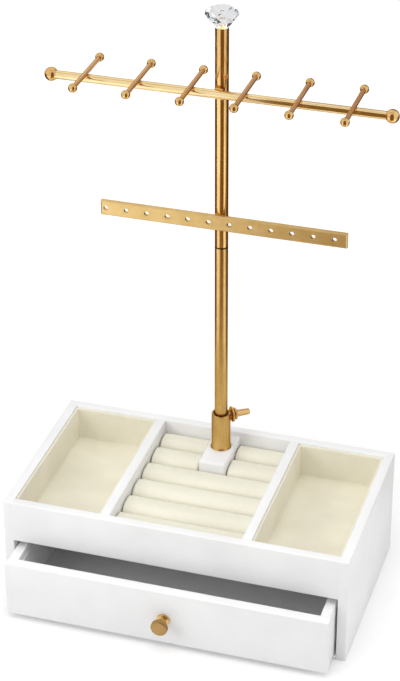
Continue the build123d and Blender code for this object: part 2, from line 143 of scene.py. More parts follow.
def plank(low, high, rounding, steps=3):
    # A small sphere's surface is cut in eight, and the eighths are pushed out to the corners of
    # the inner box: core corner + rounding * (cos tilt cos turn, cos tilt sin turn, sin tilt).
    low, high = np.asarray(low, dtype=float), np.asarray(high, dtype=float)
    quarter, turn, signX, signY = quarterTurns(steps)
    tilt = np.concatenate([quarter - np.pi / 2, quarter])[:, None]
    signZ = np.repeat([-1, 1], steps + 1)[:, None]
    middle, core = (low + high) / 2, (high - low) / 2 - rounding
    x = middle[0] + signX * core[0] + rounding * np.cos(tilt) * np.cos(turn)
    y = middle[1] + signY * core[1] + rounding * np.cos(tilt) * np.sin(turn)
    z = middle[2] + signZ * core[2] + rounding * np.sin(tilt) + 0 * turn
    return np.stack([x, y, z], axis=-1)


def rimLoop(low, high, corner, z, steps=4):
    # a rectangle with round corners as one loop: core corner + corner * (cos turn, sin turn)
    _, turn, signX, signY = quarterTurns(steps)
    middle, half = (low + high) / 2, (high - low) / 2
    x = middle[0] + signX * (half[0] - corner) + corner * np.cos(turn)
    y = middle[1] + signY * (half[1] - corner) + corner * np.sin(turn)
    return np.stack([x, y, np.full_like(x, z)], axis=-1)


def nodeBox(node):
    low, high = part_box(node)
    return np.array(low) / mm, np.array(high) / mm


class Finish:
    # a material's node tree, with short calls for the nodes that the finishes share
    def __init__(self, name):
        self.material = bpy.data.materials.new(name)
        self.material.use_nodes = True
        self.tree = self.material.node_tree
        self.shader = self.tree.nodes["Principled BSDF"]
        self.place = self.tree.nodes.new("ShaderNodeTexCoord").outputs["Object"]

    def set(self, **values):
        for socket, value in values.items():
            target = self.shader.inputs[socket.replace("_", " ")]
            if isinstance(value, bpy.types.NodeSocket):
                self.tree.links.new(value, target)
            else:
                target.default_value = value

    def noise(self, scale, detail=2.0, stretch=(1, 1, 1), turn=0.0, distortion=0.0):
        # scale is in lumps per metre
        mapping = self.tree.nodes.new("ShaderNodeMapping")
        mapping.inputs["Scale"].default_value = stretch
        mapping.inputs["Rotation"].default_value = (0, 0, turn)
        self.tree.links.new(self.place, mapping.inputs["Vector"])
        node = self.tree.nodes.new("ShaderNodeTexNoise")
        node.inputs["Scale"].default_value = scale
        node.inputs["Detail"].default_value = detail
        node.inputs["Distortion"].default_value = distortion
        self.tree.links.new(mapping.outputs["Vector"], node.inputs["Vector"])
        return node.outputs["Fac"]

    def remap(self, value, toLow, toHigh, middle=0.4):
        # the middle part of a noise, so much of it wide, is spread over a range
        node = self.tree.nodes.new("ShaderNodeMapRange")
        limits = (0.5 - middle / 2, 0.5 + middle / 2, toLow, toHigh)
        for socket, number in zip(node.inputs[1:5], limits):
            socket.default_value = number
        self.tree.links.new(value, node.inputs["Value"])
        return node.outputs["Result"]

    def math(self, operation, a, b):
        node = self.tree.nodes.new("ShaderNodeMath")
        node.operation = operation
        for socket, value in zip(node.inputs, (a, b)):
            if isinstance(value, bpy.types.NodeSocket):
                self.tree.links.new(value, socket)
            else:
                socket.default_value = value
        return node.outputs["Value"]

    def mixed(self, *parts):
        # the sum of (noise, weight) pairs
        total = None
        for value, weight in parts:
            share = self.math("MULTIPLY", value, weight)
            total = share if total is None else self.math("ADD", total, share)
        return total

    def ramp(self, value, stops):
        node = self.tree.nodes.new("ShaderNodeValToRGB")
        steps = node.color_ramp.elements
        for step, (at, color) in zip(steps, stops):
            step.position = at
            step.color = (*color, 1)
        self.tree.links.new(value, node.inputs["Fac"])
        return node.outputs["Color"]

    def bump(self, height, strength, distance, under=None):
        # distance is the depth in metres
        node = self.tree.nodes.new("ShaderNodeBump")
        node.inputs["Strength"].default_value = strength
        node.inputs["Distance"].default_value = distance
        self.tree.links.new(height, node.inputs["Height"])
        if under is not None:
            self.tree.links.new(under, node.inputs["Normal"])
        return node.outputs["Normal"]


paint = {
    "shade": (0.83, 0.83, 0.832), "light": (0.875, 0.875, 0.875), "roughness": (0.33, 0.41),
    "clouds": 22, "peel": 750, "grit": 4200, "peelBump": (0.05, 0.0002), "gritBump": (0.03, 0.00005),
}


def satinPaint(name):
    finish = Finish(name)
    clouds = finish.noise(paint["clouds"], detail=3)
    peel = finish.noise(paint["peel"], detail=1)
    grit = finish.noise(paint["grit"], detail=2)
    finish.set(
        Base_Color=finish.ramp(clouds, [(0.35, paint["shade"]), (0.65, paint["light"])]),
        Roughness=finish.remap(clouds, *paint["roughness"]),
        Normal=finish.bump(peel, *paint["peelBump"], finish.bump(grit, *paint["gritBump"])),
        Specular_IOR_Level=0.45,
    )
    return finish.material


velvet = {
    "sheen": 0.4, "sheenColor": (1.0, 0.97, 0.88, 1), "roughness": (0.86, 1.0),
    "nap": 26, "tufts": 900, "pile": 3200, "pileBump": (0.5, 0.0003), "tuftBump": (0.18, 0.0006),
}


def napped(name, dark, light, stretch=(1, 1, 1)):
    finish = Finish(name)
    nap = finish.noise(velvet["nap"], detail=3, stretch=stretch, distortion=0.4)
    pile = finish.noise(velvet["pile"], detail=3)
    tufts = finish.noise(velvet["tufts"], detail=2, stretch=stretch)
    mixed = finish.mixed((nap, 0.7), (tufts, 0.3))
    finish.set(
        Base_Color=finish.ramp(mixed, [(0.34, dark), (0.66, light)]),
        Roughness=finish.remap(pile, *velvet["roughness"]),
        Normal=finish.bump(pile, *velvet["pileBump"], finish.bump(tufts, *velvet["tuftBump"])),
        Sheen_Weight=velvet["sheen"],
        Sheen_Roughness=0.35,
        Sheen_Tint=velvet["sheenColor"],
        Specular_IOR_Level=0.2,
    )
    return finish.material


brassEdge = (0.42, 0.24, 0.09, 1)  # tint of the reflection at a grazing angle
drawLines = {"scale": 2600, "stretch": 0.02, "clouds": 60, "bump": (0.06, 0.00003)}


def polishedBrass(name, along, light, deep, roughness=0.15, edge=brassEdge):
    # fine draw lines run along the bar: noise squeezed on the two axes across it
    finish = Finish(name)
    stretch = tuple(drawLines["stretch"] if axis == along else 1.0 for axis in "xyz")
    lines = finish.noise(drawLines["scale"], detail=2, stretch=stretch)
    clouds = finish.noise(drawLines["clouds"], detail=3)
    finish.set(
        Base_Color=finish.ramp(clouds, [(0.3, deep), (0.7, light)]),
        Metallic=1.0,
        Roughness=finish.remap(lines, roughness - 0.03, roughness + 0.05),
        Specular_Tint=edge,
        Normal=finish.bump(lines, *drawLines["bump"]),
    )
    return finish.material


satin = {"lines": 3000, "clouds": 90, "bump": (0.12, 0.00005)}


def satinBrass(name, light, deep, roughness, stretch=(1, 1, 1)):
    finish = Finish(name)
    lines = finish.noise(satin["lines"], detail=3, stretch=stretch)
    clouds = finish.noise(satin["clouds"], detail=3)
    finish.set(
        Base_Color=finish.ramp(clouds, [(0.3, deep), (0.7, light)]),
        Metallic=1.0,
        Roughness=finish.remap(lines, roughness - 0.05, roughness + 0.07, middle=0.5),
        Specular_Tint=brassEdge,
        Normal=finish.bump(lines, *satin["bump"]),
    )
    return finish.material


plating = {
    "dark": (0.42, 0.43, 0.44), "light": (0.58, 0.59, 0.60), "roughness": (0.30, 0.43),
    "spots": 700, "bump": (0.08, 0.00005),
}


def zincPlate(name):
    finish = Finish(name)
    spots = finish.noise(plating["spots"], detail=3)
    finish.set(
        Base_Color=finish.ramp(spots, [(0.35, plating["dark"]), (0.65, plating["light"])]),
        Metallic=1.0,
        Roughness=finish.remap(spots, *plating["roughness"]),
        Normal=finish.bump(spots, *plating["bump"]),
    )
    return finish.material


nylonLook = {
    "dark": (0.010, 0.010, 0.011), "light": (0.022, 0.022, 0.023), "roughness": (0.42, 0.56),
    "grain": 2600, "bump": (0.1, 0.00005),
}


def mouldedNylon(name):
    finish = Finish(name)
    grain = finish.noise(nylonLook["grain"], detail=3)
    finish.set(
        Base_Color=finish.ramp(grain, [(0.3, nylonLook["dark"]), (0.7, nylonLook["light"])]),
        Roughness=finish.remap(grain, *nylonLook["roughness"]),
        Normal=finish.bump(grain, *nylonLook["bump"]),
    )
    return finish.material


acrylicLook = {
    "dark": (0.975, 0.98, 0.98), "light": (0.995, 0.997, 0.997), "roughness": (0.0, 0.012),
    "haze": 400, "bending": 1.53,
}


def clearAcrylic(name):
    finish = Finish(name)
    haze = finish.noise(acrylicLook["haze"], detail=2)
    finish.set(
        Base_Color=finish.ramp(haze, [(0.3, acrylicLook["dark"]), (0.7, acrylicLook["light"])]),
        Roughness=finish.remap(haze, *acrylicLook["roughness"]),
        Transmission_Weight=1.0,
        IOR=acrylicLook["bending"],
    )
    return finish.material


felt = {
    "dark": (0.77, 0.77, 0.772), "light": (0.88, 0.88, 0.882), "roughness": (0.88, 1.0),
    "fibres": 1500, "cross": 1700, "patches": 40, "twist": 1.2,
    "fibreBump": (0.4, 0.0003), "crossBump": (0.3, 0.0003),
}


def greyFelt(name):
    # two layers of short fibres, each squeezed across its own run, over soft patches
    finish = Finish(name)
    twist = felt["twist"]
    fibres = finish.noise(felt["fibres"], 4, stretch=(1, 0.35, 1), turn=0.6, distortion=twist)
    cross = finish.noise(felt["cross"], 4, stretch=(0.35, 1, 1), turn=0.3, distortion=twist)
    patches = finish.noise(felt["patches"], detail=3)
    blend = finish.mixed((fibres, 0.4), (cross, 0.35), (patches, 0.25))
    finish.set(
        Base_Color=finish.ramp(blend, [(0.36, felt["dark"]), (0.62, felt["light"])]),
        Roughness=finish.remap(fibres, *felt["roughness"]),
        Normal=finish.bump(fibres, *felt["fibreBump"], finish.bump(cross, *felt["crossBump"])),
        Sheen_Weight=0.15,
        Sheen_Roughness=0.5,
        Specular_IOR_Level=0.15,
    )
    return finish.material


boardLook = {"dark": (0.42, 0.40, 0.35), "light": (0.55, 0.53, 0.47), "fleck": 1300}


def greyBoard(name):
    finish = Finish(name)
    fleck = finish.noise(boardLook["fleck"], detail=4)
    finish.set(
        Base_Color=finish.ramp(fleck, [(0.35, boardLook["dark"]), (0.65, boardLook["light"])]),
        Roughness=0.9,
        Normal=finish.bump(fleck, 0.15, 0.0001),
    )
    return finish.material


whitePaint = satinPaint("satin_white_paint")
floorVelvet = napped("cream_velvet", (0.76, 0.72, 0.59), (0.85, 0.815, 0.685))
# painted light: a slightly lighter copy of the lining's cream velvet, for its upright faces
wallVelvetPaintedLight = napped("cream_velvet_walls_painted_light", (0.785, 0.75, 0.62), (0.87, 0.835, 0.71))
rollVelvet = napped(
    "cream_roll_velvet", (0.765, 0.74, 0.615), (0.85, 0.825, 0.705), stretch=(0.4, 1, 1)
)
brassUp = polishedBrass("drawn_brass_upright", "z", (0.83, 0.545, 0.235), (0.76, 0.47, 0.175))
brassLower = polishedBrass(
    "drawn_brass_lower", "z", (0.745, 0.49, 0.19), (0.675, 0.42, 0.145), roughness=0.28
)
# painted light: a paler copy of the drawn brass for the bar, for its brighter look; its end balls
# keep the upright brass
barBrassPaintedLight = polishedBrass("drawn_brass_bar_painted_light", "x", (0.98, 0.77, 0.44), (0.91, 0.68, 0.34))
brassRods = polishedBrass(
    "drawn_brass_rods", "y", (0.88, 0.60, 0.33), (0.80, 0.51, 0.25), edge=(0.42, 0.22, 0.11, 1)
)
brushedBrass = satinBrass(
    "brushed_brass_strip", (0.86, 0.635, 0.29), (0.77, 0.545, 0.22), 0.42, (0.02, 1, 1)
)
# painted shade: a near-black copy of the brass that stands in for the shade in the groove where the
# mast tubes meet
seamShadeBrass = satinBrass("painted_seam_shade_brass", (0.13, 0.075, 0.03), (0.09, 0.05, 0.02), 0.5)
matteBrass = satinBrass("matte_brass_knob", (0.52, 0.335, 0.15), (0.43, 0.27, 0.10), 0.45)
zinc = zincPlate("zinc_plate")
nylon = mouldedNylon("black_nylon")
acrylic = clearAcrylic("clear_acrylic")
feltGrey = greyFelt("grey_felt")
backingBoard = greyBoard("backing_board")
print("materials made:", len(bpy.data.materials))


def dress(piece, material):
    piece.data.materials.clear()
    piece.data.materials.append(material)
    return piece


def secondFinish(piece, material, where):
    # the faces that where picks out get a material of their own
    piece.data.materials.append(material)
    piece.data.polygons.foreach_set("material_index", where.astype(int))


def turnedPiece(name, node, body, profile, origin, direction, material, ring=False, segments=64):
    surface = turned(profile, origin, direction, segments)
    return dress(skin(name, [(surface, ring)], body, [node]), material)


view = {  # fitted to the corners of the case, the mast, the bar and the strip in the photograph
    "place": (0.435825, -1.408511, 1.102963),
    "yaw": 17.247,
    "pitch": -30.675,
    "roll": -0.186,
    "lens": 113.70,
    "sensor": 36.0,
}
yaw, pitch, roll = (math.radians(view[key]) for key in ("yaw", "pitch", "roll"))
forward = Vector((
    -math.sin(yaw) * math.cos(pitch), math.cos(yaw) * math.cos(pitch), math.sin(pitch)
))
sideways = Vector((math.cos(yaw), math.sin(yaw), 0))
upright = sideways.cross(forward)
rightward = math.cos(roll) * sideways + math.sin(roll) * upright
upward = math.cos(roll) * upright - math.sin(roll) * sideways
cameraData = bpy.data.cameras.new("photo_camera")
cameraData.lens = view["lens"]
cameraData.sensor_width = view["sensor"]
cameraData.clip_start = 0.05
cameraData.clip_end = 30
camera = bpy.data.objects.new("photo_camera", cameraData)
cameraTurn = Matrix((rightward, upward, -forward)).transposed().to_4x4()
camera.matrix_world = Matrix.Translation(view["place"]) @ cameraTurn
scene.collection.objects.link(camera)
scene.camera = camera
scene.view_settings.view_transform = "Standard"
print("camera set")


case = {
    "rounding": 0.7,
    "bottomRounding": 0.4,
    "plinthRounding": 1.8,
    "tuck": 2.0,  # how far a board runs on into the one that it is glued to
    "inset": 0.03,  # keeps faces that would lie in one plane apart
}


def board(node, name, body, tuckX=0, tuckY=0, inset=(0, 0, 0), rounding=case["rounding"]):
    # a board with eased edges; tucked ends run on into the boards beside it
    low, high = nodeBox(node)
    low += np.array([-tuckX, -tuckY, 0]) + np.array(inset)
    high += np.array([tuckX, tuckY, 0]) - np.array(inset)
    piece = skin(name, [(plank(low, high, rounding), False)], body, [node], flats=True)
    return dress(piece, whitePaint)


tuck, inset = case["tuck"], case["inset"]
board("case_left_side", "left_side_panel", "case")
board("case_right_side", "right_side_panel", "case")
board("case_front_rail", "front_rail_panel", "case", tuckX=tuck, inset=(0, inset, inset))
board("case_back_panel", "back_wall_panel", "case", tuckX=tuck, inset=(0, inset, inset))
board("case_bottom_board", "bottom_panel", "case", rounding=case["bottomRounding"])
board("left_divider", "left_divider_wall", "case", tuckY=tuck, inset=(0, 0, 2 * inset))
board("right_divider", "right_divider_wall", "case", tuckY=tuck, inset=(0, 0, 2 * inset))
board("post_plinth", "plinth_block", "case", rounding=case["plinthRounding"])
print("case boards made")


tray = {
    "wall": 2.0, "corner": 1.2, "rim": 0.9, "foot": 1.6, "outerFoot": 0.2,
    "innerCorner": 0.6, "flatEdge": 12, "nearWall": 3,
}
drawerLining = dict(tray, wall=1.2, corner=0.8, rim=0.5, foot=1.0)
perCorner = 5  # points that roundedCorners gives for each corner


def lining(name, floorNode, wallNode, body, size):
    # A profile is carried round the tray: over the floor, up the inner wall, round the rim and
    # down the outer wall. Each profile point is a loop set in from the outside by its distance.
    floorLow, floorHigh = nodeBox(floorNode)
    wallLow, wallHigh = nodeBox(wallNode)
    low, high = np.minimum(floorLow, wallLow), np.maximum(floorHigh, wallHigh)
    floorTop, rim, wall = floorHigh[2], wallHigh[2], size["wall"]
    profile = [
        (wall + size["flatEdge"], floorTop, 0),
        (wall + size["nearWall"], floorTop, 0),
        (wall, floorTop, size["foot"]),
        (wall, rim, size["rim"]),
        (0, rim, size["rim"]),
        (0, floorLow[2], size["outerFoot"]),
        (wall + size["flatEdge"], floorLow[2], 0),
    ]
    path = roundedCorners(profile)[perCorner:-perCorner]  # the two end corners only give direction
    loops = []
    for inwards, z in path:
        corner = size["corner"] if inwards < wall else size["innerCorner"]
        loops.append(rimLoop(low[:2] + inwards, high[:2] - inwards, corner, z))
    return skin(name, [(loops, False)], body, [floorNode, wallNode], flats=True)


for side in ("left", "right"):
    piece = lining(
        f"{side}_tray_lining", f"{side}_liner_floor", f"{side}_liner_walls", "case", tray
    )
    dress(piece, floorVelvet)
    # the upright faces of the lining get the lighter painted-light copy of the velvet
    secondFinish(piece, wallVelvetPaintedLight, np.abs(faceValues(piece.data, "normal")[:, 2]) < 0.5)
piece = lining(
    "drawer_felt_lining", "drawer_felt_floor", "drawer_felt_walls", "drawer", drawerLining
)
dress(piece, feltGrey)
print("linings made")


rolls = {
    "crownPower": 2.7,  # how square the top is
    "basePower": 4.5,
    "waist": 0.45,  # height of the widest line, as a share of the whole
    "end": 3.0,  # length of the rounded end
    "sag": 0.35,  # unevenness of the stuffing
    "waves": (47.0, 29.0, 17.0),  # lengths of its three waves
    "rows": 72,
    "around": 64,
    "fill": 0.8,
    "gap": 0.05,
    "plinthGap": 0.3,
}


def ringRoll(name, node, low, high, seed):
    # A roll's cross-section is a squircle, flatter below than above. It is carried along x and
    # drawn in at both ends: scale = (1 - (1 - distance / end) ** 3) ** (1 / 3).
    low, high = np.array(low, dtype=float), np.array(high, dtype=float)
    chance = np.random.default_rng(seed)
    length = high[0] - low[0]
    spread = (1 - np.cos(np.linspace(0, np.pi, rolls["rows"]))) / 2  # rows are closer at the ends
    spread = 0.5 * spread + 0.5 * np.linspace(0, 1, rolls["rows"])
    x = low[0] + length * spread
    nearest = np.minimum(x - low[0], high[0] - x)
    draw = np.clip(1 - nearest / rolls["end"], 0, 1)
    scale = (1 - draw**3) ** (1 / 3)
    v = np.linspace(0, 2 * np.pi, rolls["around"], endpoint=False)
    across, rise = np.cos(v), np.sin(v)
    power = np.where(rise > 0, rolls["crownPower"], rolls["basePower"])
    halfWidth = (high[1] - low[1]) / 2 - rolls["gap"]
    waist = low[2] + rolls["waist"] * (high[2] - low[2])
    reach = np.where(rise > 0, high[2] - waist, waist - low[2])
    y = np.sign(across) * np.abs(across) ** (2 / power) * halfWidth
    z = np.sign(rise) * np.abs(rise) ** (2 / power) * reach
    phases = chance.uniform(0, 2 * np.pi, (3, 1))
    waveLengths = np.array(rolls["waves"])[:, None]
    waves = np.sin(2 * np.pi * x[None] / waveLengths + phases).sum(axis=0) / 3
    uneven = 1 - rolls["sag"] * (0.5 + 0.5 * waves) / reach.max()
    stretch = (scale * uneven)[:, None]
    points = np.stack(
        [
            x[:, None] + 0 * y,
            (low[1] + high[1]) / 2 + y * scale[:, None],
            waist + z * np.where(z > 0, stretch, scale[:, None]),
        ],
        axis=-1,
    )
    piece = skin(name, [(points, False)], "case", [node], sharpAngle=80)
    dress(piece, rollVelvet)


plinthSide = nodeBox("post_plinth")[1][0] + rolls["plinthGap"]
for number in range(1, 7):
    node = f"ring_roll_{number}"
    low, high = nodeBox(node)
    if number < 5:
        ringRoll(f"velvet_roll_{number}", node, low, high, number)
        continue
    leftEnd = (-plinthSide, high[1], high[2])  # the last two rolls stop at the plinth
    rightStart = (plinthSide, low[1], low[2])
    ringRoll(f"velvet_roll_{number}_left", node, low, leftEnd, number)
    ringRoll(f"velvet_roll_{number}_right", node, rightStart, high, number + 10)
print("ring rolls made")


drawerRounding = 0.6
for node, name in (
    ("drawer_front", "drawer_front_panel"),
    ("drawer_left_side", "drawer_left_panel"),
    ("drawer_right_side", "drawer_right_panel"),
    ("drawer_back", "drawer_back_panel"),
    ("drawer_bottom", "drawer_floor_panel"),
):
    board(node, name, "drawer", rounding=drawerRounding)

pull = {  # the drawer's knob: radii, and places along its axis from the drawer's front
    "base": 5.2, "neck": 2.9, "head": 7.0,
    "baseEnd": 1.8, "neckStart": 2.7, "neckEnd": 8.4, "headBack": 8.9, "headStart": 9.6,
    "length": 13.5,
}
knobLow, knobHigh = nodeBox("drawer_knob")
knobMiddle = (knobLow + knobHigh) / 2
frontY = knobLow[1] + pull["length"]
profile = roundedCorners(
    [
        (0, 0, 0),
        (0, pull["base"], 0.3),
        (pull["baseEnd"], pull["base"], 0.7),
        (pull["neckStart"], pull["neck"], 0.9),
        (pull["neckEnd"], pull["neck"], 1.2),
        (pull["headStart"], pull["head"], 0.8),
        (pull["length"], pull["head"], 1.3),
        (pull["length"], 0, 0),
    ],
    steps=6,
)
surface = turned(profile, (knobMiddle[0], frontY, knobMiddle[2]), (0, -1, 0))
pullKnob = dress(
    skin("pull_knob", [(surface, False)], "drawer", ["drawer_knob"]), matteBrass
)
behindHead = faceValues(pullKnob.data, "center")[:, 1] / mm > frontY - pull["headBack"]
secondFinish(pullKnob, brassLower, behindHead)  # the neck and the base ring are polished
print("drawer made")


mast = {
    "x": 0.0, "y": 54.5, "radius": 5.4, "bore": 4.45, "easing": 0.45, "boreEasing": 0.2,
    "seam": 286.0, "seamEasing": 0.7, "segments": 96,
}
up = (0, 0, 1)
axisPoint = (mast["x"], mast["y"], 0)


def tube(name, node, material, lowEasing, highEasing):
    # a tube with eased ends; the eased edges at the seam between the two tubes get painted shade, a
    # near-black brass in place of the shade in the groove
    low, high = nodeBox(node)
    corners = [
        (low[2], mast["radius"], lowEasing),
        (high[2], mast["radius"], highEasing),
        (high[2], mast["bore"], mast["boreEasing"]),
        (low[2], mast["bore"], mast["boreEasing"]),
    ]
    piece = turnedPiece(
        name, node, "mast", roundedCorners(corners), axisPoint, up, material, True, mast["segments"]
    )
    fromSeam = np.abs(faceValues(piece.data, "center")[:, 2] / mm - mast["seam"])
    # the faces beside the seam get the painted seam shade
    secondFinish(piece, seamShadeBrass, fromSeam < mast["seamEasing"])


tube("lower_mast_tube", "lower_post", brassLower, mast["easing"], mast["seamEasing"])
tube("upper_mast_tube", "upper_post", brassUp, mast["seamEasing"], mast["easing"])

socket = {
    "outer": 8.0, "inner": 6.4, "rim": 0.65, "foot": 0.2,
    "flare": 8.9, "flareTop": 0.6, "skirt": 8.22, "skirtTop": 1.3, "collarTop": 8.05,
    "collarBore": 7.4,
}
low, high = nodeBox("socket_tube")
sleeveProfile = roundedCorners(
    [
        (low[2], socket["outer"], socket["foot"]),
        (high[2], socket["outer"], socket["rim"]),
        (high[2], socket["inner"], socket["rim"]),
        (low[2], socket["inner"], socket["foot"]),
    ]
)
turnedPiece(
    "socket_sleeve", "socket_tube", "case", sleeveProfile, axisPoint, up, brassLower,
    True, mast["segments"],
)
low, high = nodeBox("socket_collar")
collarProfile = roundedCorners(
    [
        (low[2], socket["flare"], 0.15),
        (low[2] + socket["flareTop"], socket["flare"], 0.35),
        (low[2] + socket["skirtTop"], socket["skirt"], 0.8),
        (high[2], socket["collarTop"], 0.1),
        (high[2], socket["collarBore"], 0.1),
        (low[2], socket["collarBore"], 0.1),
    ]
)
turnedPiece(
    "socket_foot_ring", "socket_collar", "case", collarProfile, axisPoint, up, brassLower,
    True, mast["segments"],
)

clamp = {  # radii, and places along the screw's axis from the mast's own axis
    "angle": 35.0, "height": 123.5,
    "boss": 3.5, "bossRoot": 3.8, "bossBore": 2.65, "bossStart": 7.0, "bossStep": 7.9,
    "bossEnd": 8.6,
    "shank": 2.45, "tip": 8.1,
    "largeRing": 6.6, "ringStart": 8.9, "ringEnd": 10.7, "groove": 3.4,
    "smallRing": 5.1, "smallStart": 11.6, "smallEnd": 13.4, "neck": 3.1,
    "handleRoot": 2.9, "handleStart": 15.2, "handleTip": 2.5, "end": 25.0,
}
clampAngle = math.radians(clamp["angle"])
clampAxis = (math.cos(clampAngle), math.sin(clampAngle), 0)
clampPoint = (mast["x"], mast["y"], clamp["height"])
bossProfile = roundedCorners(
    [
        (clamp["bossStart"], clamp["bossBore"], 0.1),
        (clamp["bossStart"], clamp["bossRoot"], 0.1),
        (clamp["bossStep"], clamp["boss"], 0.3),
        (clamp["bossEnd"], clamp["boss"], 0.2),
        (clamp["bossEnd"], clamp["bossBore"], 0.1),
    ]
)
turnedPiece(
    "clamp_boss_ring", "clamp_boss", "case", bossProfile, clampPoint, clampAxis, brassLower, True
)
screwProfile = roundedCorners(
    [
        (clamp["tip"], 0, 0),
        (clamp["tip"], clamp["shank"], 0.2),
        (clamp["ringStart"], clamp["shank"], 0.1),
        (clamp["ringStart"], clamp["largeRing"], 0.7),
        (clamp["ringEnd"], clamp["largeRing"], 0.7),
        (clamp["ringEnd"], clamp["groove"], 0.2),
        (clamp["smallStart"], clamp["groove"], 0.2),
        (clamp["smallStart"], clamp["smallRing"], 0.7),
        (clamp["smallEnd"], clamp["smallRing"], 0.7),
        (clamp["smallEnd"], clamp["neck"], 0.2),
        (clamp["handleStart"], clamp["handleRoot"], 0.5),
        (clamp["end"], clamp["handleTip"], 0.7),
        (clamp["end"], 0, 0),
    ]
)
turnedPiece(
    "clamp_thumbscrew", "clamp_screw", "clamp", screwProfile, clampPoint, clampAxis, brassUp
)
print("mast tubes made")


bar = {
    "y": 45.1, "z": 422.5, "radius": 3.35, "easing": 0.3, "ball": 5.5, "ballPlay": 0.05,
    "end": 136.75, "ballSteps": 33,
}
low, high = nodeBox("necklace_bar")
barProfile = roundedCorners(
    [
        (low[0], 0, 0),
        (low[0], bar["radius"], bar["easing"]),
        (high[0], bar["radius"], bar["easing"]),
        (high[0], 0, 0),
    ]
)
# the bar gets the paler painted-light copy of the brass
turnedPiece(
    "necklace_rail", "necklace_bar", "mast", barProfile, (0, bar["y"], bar["z"]), (1, 0, 0),
    barBrassPaintedLight,
)

# an end ball is a half circle spun about the bar, open where the bar goes in
ballBore = bar["radius"] + bar["ballPlay"]
lip = math.acos(math.sqrt(bar["ball"] ** 2 - ballBore**2) / bar["ball"])
around = np.linspace(lip, np.pi, bar["ballSteps"])
ballProfile = np.stack([-bar["ball"] * np.cos(around), bar["ball"] * np.sin(around)], axis=-1)
ballProfile = np.concatenate([[(0.0, 0.0), (0.0, ballBore)], ballProfile])
for side, sign in (("left", -1), ("right", 1)):
    centre = (sign * bar["end"], bar["y"], bar["z"])
    turnedPiece(
        f"{side}_bar_ball", f"{side}_end_ball", "mast", ballProfile, centre, (sign, 0, 0), brassUp
    )

# a hook rod is a ball, the rod and a ball in one profile, spun about the rod's own axis
hooks = {"rod": 1.9, "ball": 3.6, "reach": 31.2, "ballSteps": 25, "segments": 48}
leave = math.asin(hooks["rod"] / hooks["ball"])
around = np.linspace(0, np.pi - leave, hooks["ballSteps"])
half = np.stack(
    [hooks["reach"] + hooks["ball"] * np.cos(around), hooks["ball"] * np.sin(around)], axis=-1
)
rodProfile = np.concatenate([half * [-1, 1], half[::-1]])
for number in range(1, 7):
    low, high = nodeBox(f"hook_rod_{number}")
    middle = (low + high) / 2
    rod = turnedPiece(
        f"necklace_hook_{number}", f"hook_rod_{number}", "mast", rodProfile, middle, (0, 1, 0),
        brassRods, segments=hooks["segments"],
    )
    fromMiddle = np.abs(faceValues(rod.data, "center")[:, 1] / mm - middle[1])
    secondFinish(rod, brassUp, fromMiddle > hooks["reach"] - hooks["ball"])  # the balls
print("bar and hooks made")


crystal = {  # radii and heights of a brilliant cut
    "table": 7.6, "star": 10.4, "girdle": 13.2, "lowerBreak": 11.4, "foot": 5.6, "bore": 2.05,
    "crown": 3.8, "band": 0.9, "boreDepth": 6.05,
}


def polygon(radius, z, sides=8, turn=0.0):
    # corners of an even-sided figure round the mast's axis: radius * (cos a, sin a)
    a = np.arange(sides) * 2 * np.pi / sides + turn
    x, y = radius * np.cos(a), mast["y"] + radius * np.sin(a)
    return np.stack([x, y, np.full(sides, z)], axis=-1)


